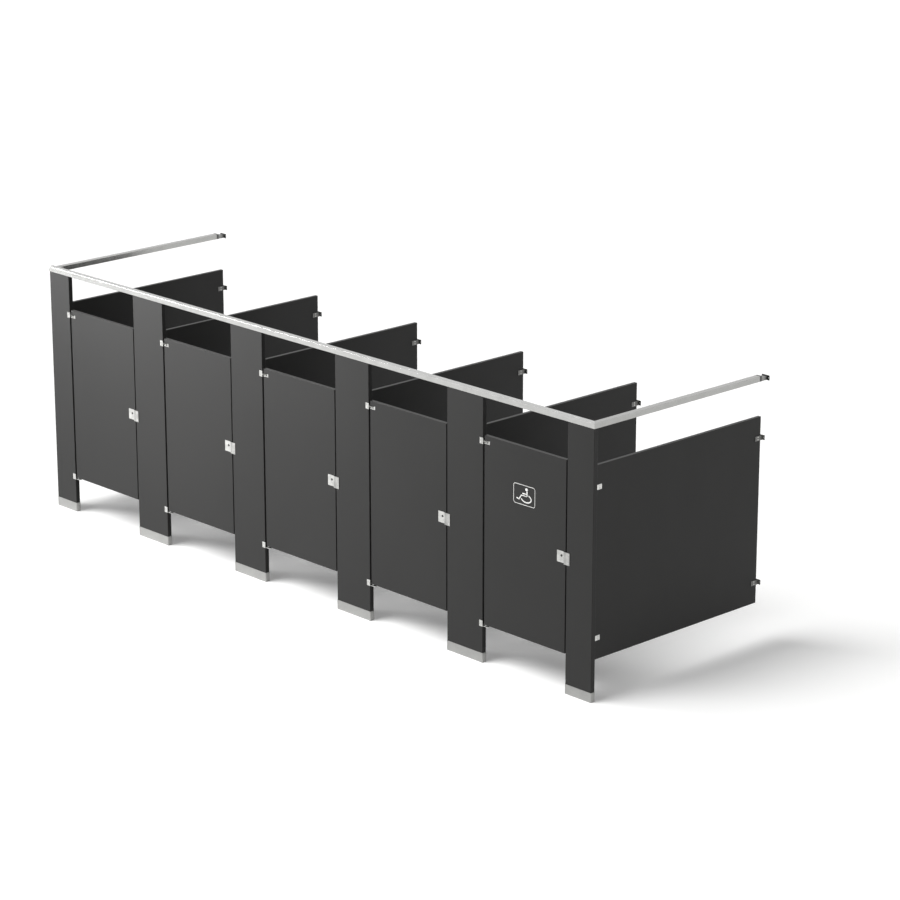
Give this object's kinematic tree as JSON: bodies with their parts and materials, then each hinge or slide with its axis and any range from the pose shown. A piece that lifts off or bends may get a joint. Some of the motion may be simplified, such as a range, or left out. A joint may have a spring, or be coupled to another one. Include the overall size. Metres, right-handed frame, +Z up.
{
  "type": "bathroom stall partition",
  "caption": "Overhead-braced toilet partition run with dark steel-faced doors and panels, wide pilasters in steel shoes, and a metal head rail with wall returns.",
  "frame": {"origin": "middle of the run, where the wall's face meets the floor", "axes": "+X along the fronts to the right as seen from the doors, +Y into the wall, +Z up"},
  "size_m": [6.3858, 1.855, 2.11],
  "materials": {
    "leaf_paint": "satin charcoal powder coat",
    "rail_aluminium": "satin anodised",
    "satin_steel": "satin stainless",
    "hardware_metal": "satin plated casting",
    "nylon": "matt",
    "rubber": "matt"
  },
  "bodies": {
    "frame": {"pilaster_1": "leaf_paint", "pilaster_2": "leaf_paint", "pilaster_3": "leaf_paint", "pilaster_4": "leaf_paint", "pilaster_5": "leaf_paint", "pilaster_6": "leaf_paint", "shoe_1": "satin_steel", "shoe_2": "satin_steel", "shoe_3": "satin_steel", "shoe_4": "satin_steel", "shoe_5": "satin_steel", "shoe_6": "satin_steel", "panel_1": "leaf_paint", "panel_2": "leaf_paint", "panel_3": "leaf_paint", "panel_4": "leaf_paint", "panel_5": "leaf_paint", "panel_6": "leaf_paint", "levelling_feet": "hardware_metal", "panel_wall_brackets": "satin_steel", "panel_pilaster_brackets": "satin_steel", "headrail_front": "rail_aluminium", "headrail_left": "rail_aluminium", "headrail_right": "rail_aluminium", "headrail_fittings": "satin_steel", "top_hinge_brackets": "hardware_metal", "bottom_hinge_brackets": "hardware_metal", "lower_cams": "nylon", "keepers": "hardware_metal", "keeper_bumpers": "rubber"},
    "door_1": {"door_1": "leaf_paint", "door_hinge_1": "hardware_metal", "latch_case_1": "hardware_metal", "coat_hook_1": "hardware_metal"},
    "door_2": {"door_2": "leaf_paint", "door_hinge_2": "hardware_metal", "latch_case_2": "hardware_metal", "coat_hook_2": "hardware_metal"},
    "door_3": {"door_3": "leaf_paint", "door_hinge_3": "hardware_metal", "latch_case_3": "hardware_metal", "coat_hook_3": "hardware_metal"},
    "door_4": {"door_4": "leaf_paint", "door_hinge_4": "hardware_metal", "latch_case_4": "hardware_metal", "coat_hook_4": "hardware_metal"},
    "door_5": {"door_5": "leaf_paint", "door_hinge_5": "hardware_metal", "latch_case_5": "hardware_metal", "coat_hook_5": "hardware_metal"},
    "turn_1": {"latch_turn_1": "hardware_metal"},
    "bolt_1": {"latch_bolt_1": "satin_steel"},
    "turn_2": {"latch_turn_2": "hardware_metal"},
    "bolt_2": {"latch_bolt_2": "satin_steel"},
    "turn_3": {"latch_turn_3": "hardware_metal"},
    "bolt_3": {"latch_bolt_3": "satin_steel"},
    "turn_4": {"latch_turn_4": "hardware_metal"},
    "bolt_4": {"latch_bolt_4": "satin_steel"},
    "turn_5": {"latch_turn_5": "hardware_metal"},
    "bolt_5": {"latch_bolt_5": "satin_steel"}
  },
  "joints": [
    {"name": "door_1_hinge", "type": "hinge", "parent": "frame", "child": "door_1", "pos_m": [-2.895, -1.831, 0.305], "axis": [0, 0, 1], "range_deg": [0, 90]},
    {"name": "latch_1_turn", "type": "hinge", "parent": "door_1", "child": "turn_1", "pos_m": [-2.107, -1.831, 1.05], "axis": [0, 1, 0], "range_deg": [0, 90]},
    {"name": "latch_1_bolt", "type": "slide", "parent": "door_1", "child": "bolt_1", "axis": [1, 0, 0], "range_m": [0, 0.028]},
    {"name": "door_2_hinge", "type": "hinge", "parent": "frame", "child": "door_2", "pos_m": [-1.651, -1.831, 0.305], "axis": [0, 0, 1], "range_deg": [0, 90]},
    {"name": "latch_2_turn", "type": "hinge", "parent": "door_2", "child": "turn_2", "pos_m": [-0.863, -1.831, 1.05], "axis": [0, 1, 0], "range_deg": [0, 90]},
    {"name": "latch_2_bolt", "type": "slide", "parent": "door_2", "child": "bolt_2", "axis": [1, 0, 0], "range_m": [0, 0.028]},
    {"name": "door_3_hinge", "type": "hinge", "parent": "frame", "child": "door_3", "pos_m": [-0.407, -1.831, 0.305], "axis": [0, 0, 1], "range_deg": [0, 90]},
    {"name": "latch_3_turn", "type": "hinge", "parent": "door_3", "child": "turn_3", "pos_m": [0.381, -1.831, 1.05], "axis": [0, 1, 0], "range_deg": [0, 90]},
    {"name": "latch_3_bolt", "type": "slide", "parent": "door_3", "child": "bolt_3", "axis": [1, 0, 0], "range_m": [0, 0.028]},
    {"name": "door_4_hinge", "type": "hinge", "parent": "frame", "child": "door_4", "pos_m": [0.837, -1.831, 0.305], "axis": [0, 0, 1], "range_deg": [0, 90]},
    {"name": "latch_4_turn", "type": "hinge", "parent": "door_4", "child": "turn_4", "pos_m": [1.625, -1.831, 1.05], "axis": [0, 1, 0], "range_deg": [0, 90]},
    {"name": "latch_4_bolt", "type": "slide", "parent": "door_4", "child": "bolt_4", "axis": [1, 0, 0], "range_m": [0, 0.028]},
    {"name": "door_5_hinge", "type": "hinge", "parent": "frame", "child": "door_5", "pos_m": [2.081, -1.831, 0.305], "axis": [0, 0, 1], "range_deg": [0, 90]},
    {"name": "latch_5_turn", "type": "hinge", "parent": "door_5", "child": "turn_5", "pos_m": [2.869, -1.831, 1.05], "axis": [0, 1, 0], "range_deg": [0, 90]},
    {"name": "latch_5_bolt", "type": "slide", "parent": "door_5", "child": "bolt_5", "axis": [1, 0, 0], "range_m": [0, 0.028]}
  ],
  "couplings": [
    {"joint": "latch_1_bolt", "follows": "latch_1_turn", "m_per_rad": 0.017825},
    {"joint": "latch_2_bolt", "follows": "latch_2_turn", "m_per_rad": 0.017825},
    {"joint": "latch_3_bolt", "follows": "latch_3_turn", "m_per_rad": 0.017825},
    {"joint": "latch_4_bolt", "follows": "latch_4_turn", "m_per_rad": 0.017825},
    {"joint": "latch_5_bolt", "follows": "latch_5_turn", "m_per_rad": 0.017825}
  ]
}
